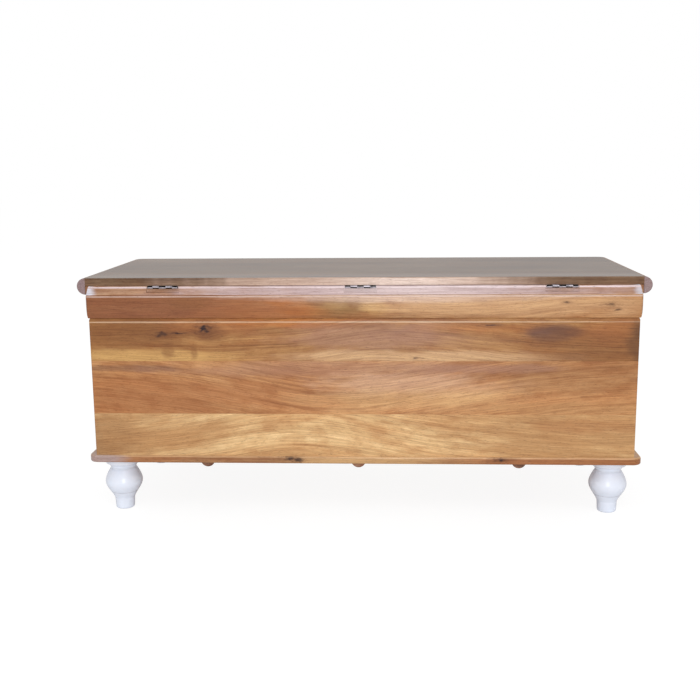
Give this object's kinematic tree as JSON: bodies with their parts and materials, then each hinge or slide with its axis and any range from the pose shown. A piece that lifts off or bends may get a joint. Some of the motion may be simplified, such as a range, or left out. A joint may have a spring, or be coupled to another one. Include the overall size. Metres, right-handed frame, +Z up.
{
  "type": "storage trunk",
  "caption": "Long wooden blanket box with a plank body, moulded frieze, turned white feet and a nosed lid on butt hinges at the back.",
  "frame": {"origin": "on the floor, below the middle of the whole closed trunk", "axes": "+X along the length, +Y towards the hinged back, +Z up"},
  "size_m": [1.2, 0.47, 0.52],
  "materials": {
    "body_wood": "clear lacquered hardwood, semi-gloss",
    "lid_wood": "clear lacquered hardwood, semi-gloss",
    "inner_wood": "bare planed hardwood, matt",
    "bearer_wood": "dark stained hardwood, satin",
    "foot_paint": "white gloss paint on turned hardwood",
    "hinge_nickel": "nickel-plated pressed steel",
    "pin_steel": "blackened steel wire",
    "screw_steel": "zinc-plated steel"
  },
  "bodies": {
    "box": {"back_plank_lower": "body_wood", "back_plank_middle": "body_wood", "back_plank_upper": "body_wood", "base_board": "body_wood", "base_screws": "screw_steel", "bearer_left": "bearer_wood", "bearer_middle": "bearer_wood", "bearer_right": "bearer_wood", "bearer_screws": "screw_steel", "corner_post_back_left": "inner_wood", "corner_post_back_right": "inner_wood", "corner_post_front_left": "inner_wood", "corner_post_front_right": "inner_wood", "foot_back_left": "foot_paint", "foot_back_right": "foot_paint", "foot_bolts": "screw_steel", "foot_front_left": "foot_paint", "foot_front_right": "foot_paint", "frieze_back": "body_wood", "frieze_front": "body_wood", "frieze_left": "body_wood", "frieze_right": "body_wood", "front_plank_lower": "body_wood", "front_plank_middle": "body_wood", "front_plank_upper": "body_wood", "hinge_body_leaf_left": "hinge_nickel", "hinge_body_leaf_middle": "hinge_nickel", "hinge_body_leaf_right": "hinge_nickel", "hinge_pin_left": "pin_steel", "hinge_pin_middle": "pin_steel", "hinge_pin_right": "pin_steel", "hinge_screws_body": "screw_steel", "left_plank_lower": "body_wood", "left_plank_middle": "body_wood", "left_plank_upper": "body_wood", "right_plank_lower": "body_wood", "right_plank_middle": "body_wood", "right_plank_upper": "body_wood", "rim_back": "body_wood", "rim_front": "body_wood", "rim_left": "body_wood", "rim_right": "body_wood"},
    "lid": {"batten_screws": "screw_steel", "hinge_lid_leaf_left": "hinge_nickel", "hinge_lid_leaf_middle": "hinge_nickel", "hinge_lid_leaf_right": "hinge_nickel", "hinge_screws_lid": "screw_steel", "lid_batten_left": "inner_wood", "lid_batten_middle": "inner_wood", "lid_batten_right": "inner_wood", "lid_board_1": "lid_wood", "lid_board_2": "lid_wood", "lid_board_3": "lid_wood", "lid_board_4": "lid_wood", "nosing_front": "lid_wood", "nosing_left": "lid_wood", "nosing_right": "lid_wood"}
  },
  "joints": [
    {"name": "lid_hinge", "type": "hinge", "parent": "box", "child": "lid", "pos_m": [0, 0.23145, 0.50085], "axis": [-1, 0, 0], "range_deg": [0, 100]}
  ]
}
